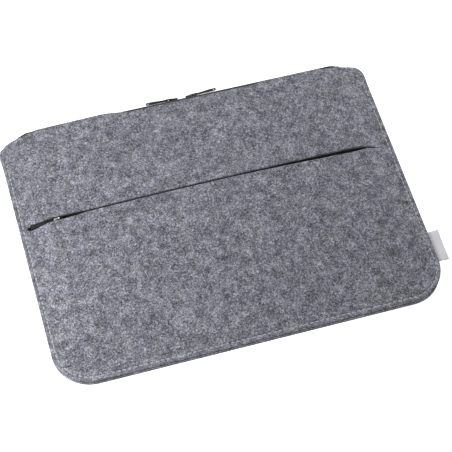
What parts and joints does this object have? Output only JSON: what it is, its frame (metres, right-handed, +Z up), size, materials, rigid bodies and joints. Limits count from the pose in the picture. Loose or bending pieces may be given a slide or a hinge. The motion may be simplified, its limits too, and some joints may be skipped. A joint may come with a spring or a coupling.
{
  "type": "laptop sleeve",
  "caption": "Flat felt laptop sleeve with a top zip, a zipped front pocket and a folded side label, lying on its back panel.",
  "frame": {"origin": "on the floor under the centre of the felt outline, on the outside of the back panel", "axes": "+X along the top zip to the right, +Y from the closed bottom to the top zip, +Z up out of the front panel"},
  "size_m": [0.396, 0.2863, 0.0225],
  "materials": {
    "felt": "mottled grey wool felt",
    "black_fabric": "woven polyester",
    "black_nylon": "satin nylon",
    "black_paint": "satin black",
    "nickel": "bright nickel",
    "grey_thread": "spun thread",
    "label_weave": "woven satin tape"
  },
  "bodies": {
    "sleeve": {"back_panel": "felt", "partition_panel": "felt", "pocket_lining": "black_fabric", "front_panel": "felt", "side_label": "label_weave", "seam_thread_front": "grey_thread", "seam_thread_back": "grey_thread", "top_zip_back_tape": "black_fabric", "top_zip_front_tape": "black_fabric", "top_zip_back_coil": "black_nylon", "top_zip_front_coil": "black_nylon", "top_zip_left_stop": "nickel", "top_zip_right_stop": "nickel", "pocket_zip_lower_tape": "black_fabric", "pocket_zip_upper_tape": "black_fabric", "pocket_zip_lower_coil": "black_nylon", "pocket_zip_upper_coil": "black_nylon", "pocket_zip_end_stop": "nickel", "pocket_zip_lower_stop": "nickel", "pocket_zip_upper_stop": "nickel"},
    "top_left_runner": {"top_left_slider": "black_paint", "top_left_slider_bail": "nickel"},
    "top_left_tab": {"top_left_pull": "black_paint"},
    "top_right_runner": {"top_right_slider": "black_paint", "top_right_slider_bail": "nickel"},
    "top_right_tab": {"top_right_pull": "black_paint"},
    "pocket_runner": {"pocket_slider": "black_paint", "pocket_slider_bail": "nickel"},
    "pocket_tab": {"pocket_pull": "black_paint"}
  },
  "joints": [
    {"name": "top_left_slider_travel", "type": "slide", "parent": "sleeve", "child": "top_left_runner", "axis": [1, 0, 0], "range_m": [-0.1474, 0]},
    {"name": "top_left_pull_swing", "type": "hinge", "parent": "top_left_runner", "child": "top_left_tab", "pos_m": [-0.0092, 0.14685, 0.0072], "axis": [0, 0, 1], "range_deg": [-100, 0]},
    {"name": "top_right_slider_travel", "type": "slide", "parent": "sleeve", "child": "top_right_runner", "axis": [1, 0, 0], "range_m": [0, 0.1446]},
    {"name": "top_right_pull_swing", "type": "hinge", "parent": "top_right_runner", "child": "top_right_tab", "pos_m": [0.012, 0.14685, 0.0072], "axis": [0, 0, 1], "range_deg": [0, 99]},
    {"name": "pocket_slider_travel", "type": "hinge", "parent": "sleeve", "child": "pocket_runner", "pos_m": [0, 0.0345, -3.0972], "axis": [0, 1, 0], "range_deg": [0, 5.6]},
    {"name": "pocket_pull_swing", "type": "hinge", "parent": "pocket_runner", "child": "pocket_tab", "pos_m": [-0.15516, 0.0345, 0.01659], "axis": [0, 1, 0], "range_deg": [0, 135]}
  ]
}
